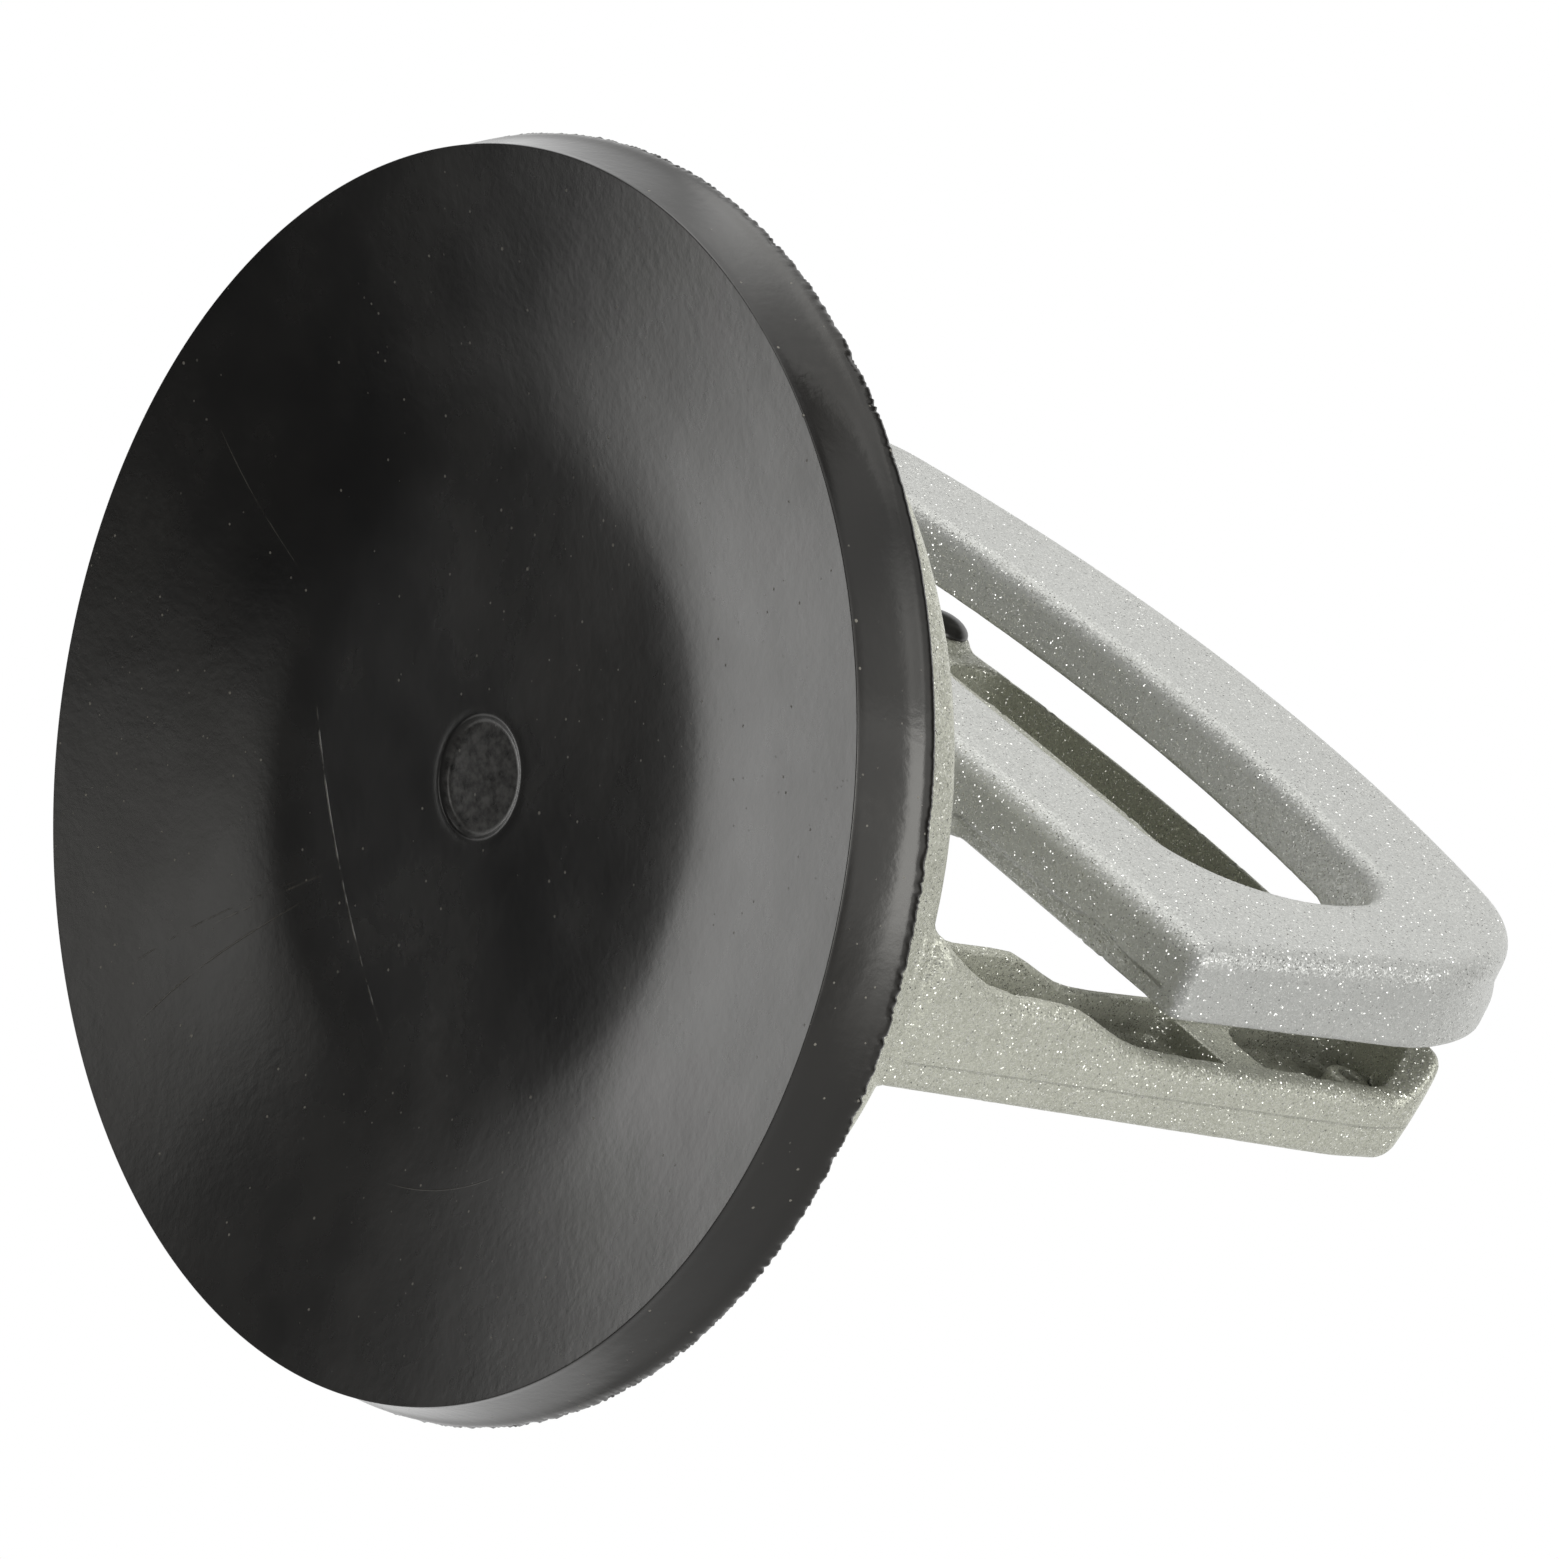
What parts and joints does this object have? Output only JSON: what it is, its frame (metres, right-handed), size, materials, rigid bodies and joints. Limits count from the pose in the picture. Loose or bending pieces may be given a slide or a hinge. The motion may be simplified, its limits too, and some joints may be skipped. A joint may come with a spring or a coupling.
{
  "type": "suction lifter",
  "caption": "Hand-held suction lifter for floor tiles and glass: round rubber cup under a cast housing with a fixed bow handle and a D-ring cam lever.",
  "frame": {"origin": "centre of the rubber lip's plane, where the cup meets the tile", "axes": "+Z from the cup to the handle, X along the handle, the lever stands on the -Y side of the fixed bow"},
  "size_m": [0.12, 0.12, 0.1006],
  "materials": {
    "body_paint": "greenish silver metallic flake paint, satin",
    "lever_paint": "neutral silver metallic flake paint, satin",
    "black_rubber": "moulded black rubber, semi-gloss",
    "zinc_steel": "bright zinc plate",
    "spring_steel": "hardened, oiled",
    "bush_brass": "turned"
  },
  "bodies": {
    "housing": {"body_casting": "body_paint", "suction_pad": "black_rubber", "guide_bush": "bush_brass", "cam_wear_plate": "spring_steel", "lever_buffer": "black_rubber"},
    "stud": {"lift_stud": "zinc_steel", "stud_lock_nut": "zinc_steel", "pad_insert_plate": "zinc_steel", "hinge_pin": "zinc_steel", "pin_washers": "zinc_steel", "pin_clips": "spring_steel"},
    "lever": {"lever_casting": "lever_paint"}
  },
  "joints": [
    {"name": "stud_lift", "type": "slide", "parent": "housing", "child": "stud", "axis": [0, 0, 1], "range_m": [-0.003, 0.0003], "deforming": ["suction_pad"]},
    {"name": "lever_hinge", "type": "hinge", "parent": "stud", "child": "lever", "pos_m": [0, 0, 0.0334], "axis": [1, 0, 0], "range_deg": [-3.3, 38]}
  ],
  "couplings": [
    {"joint": "stud_lift", "follows": "lever_hinge", "m_per_rad": -0.004297}
  ]
}
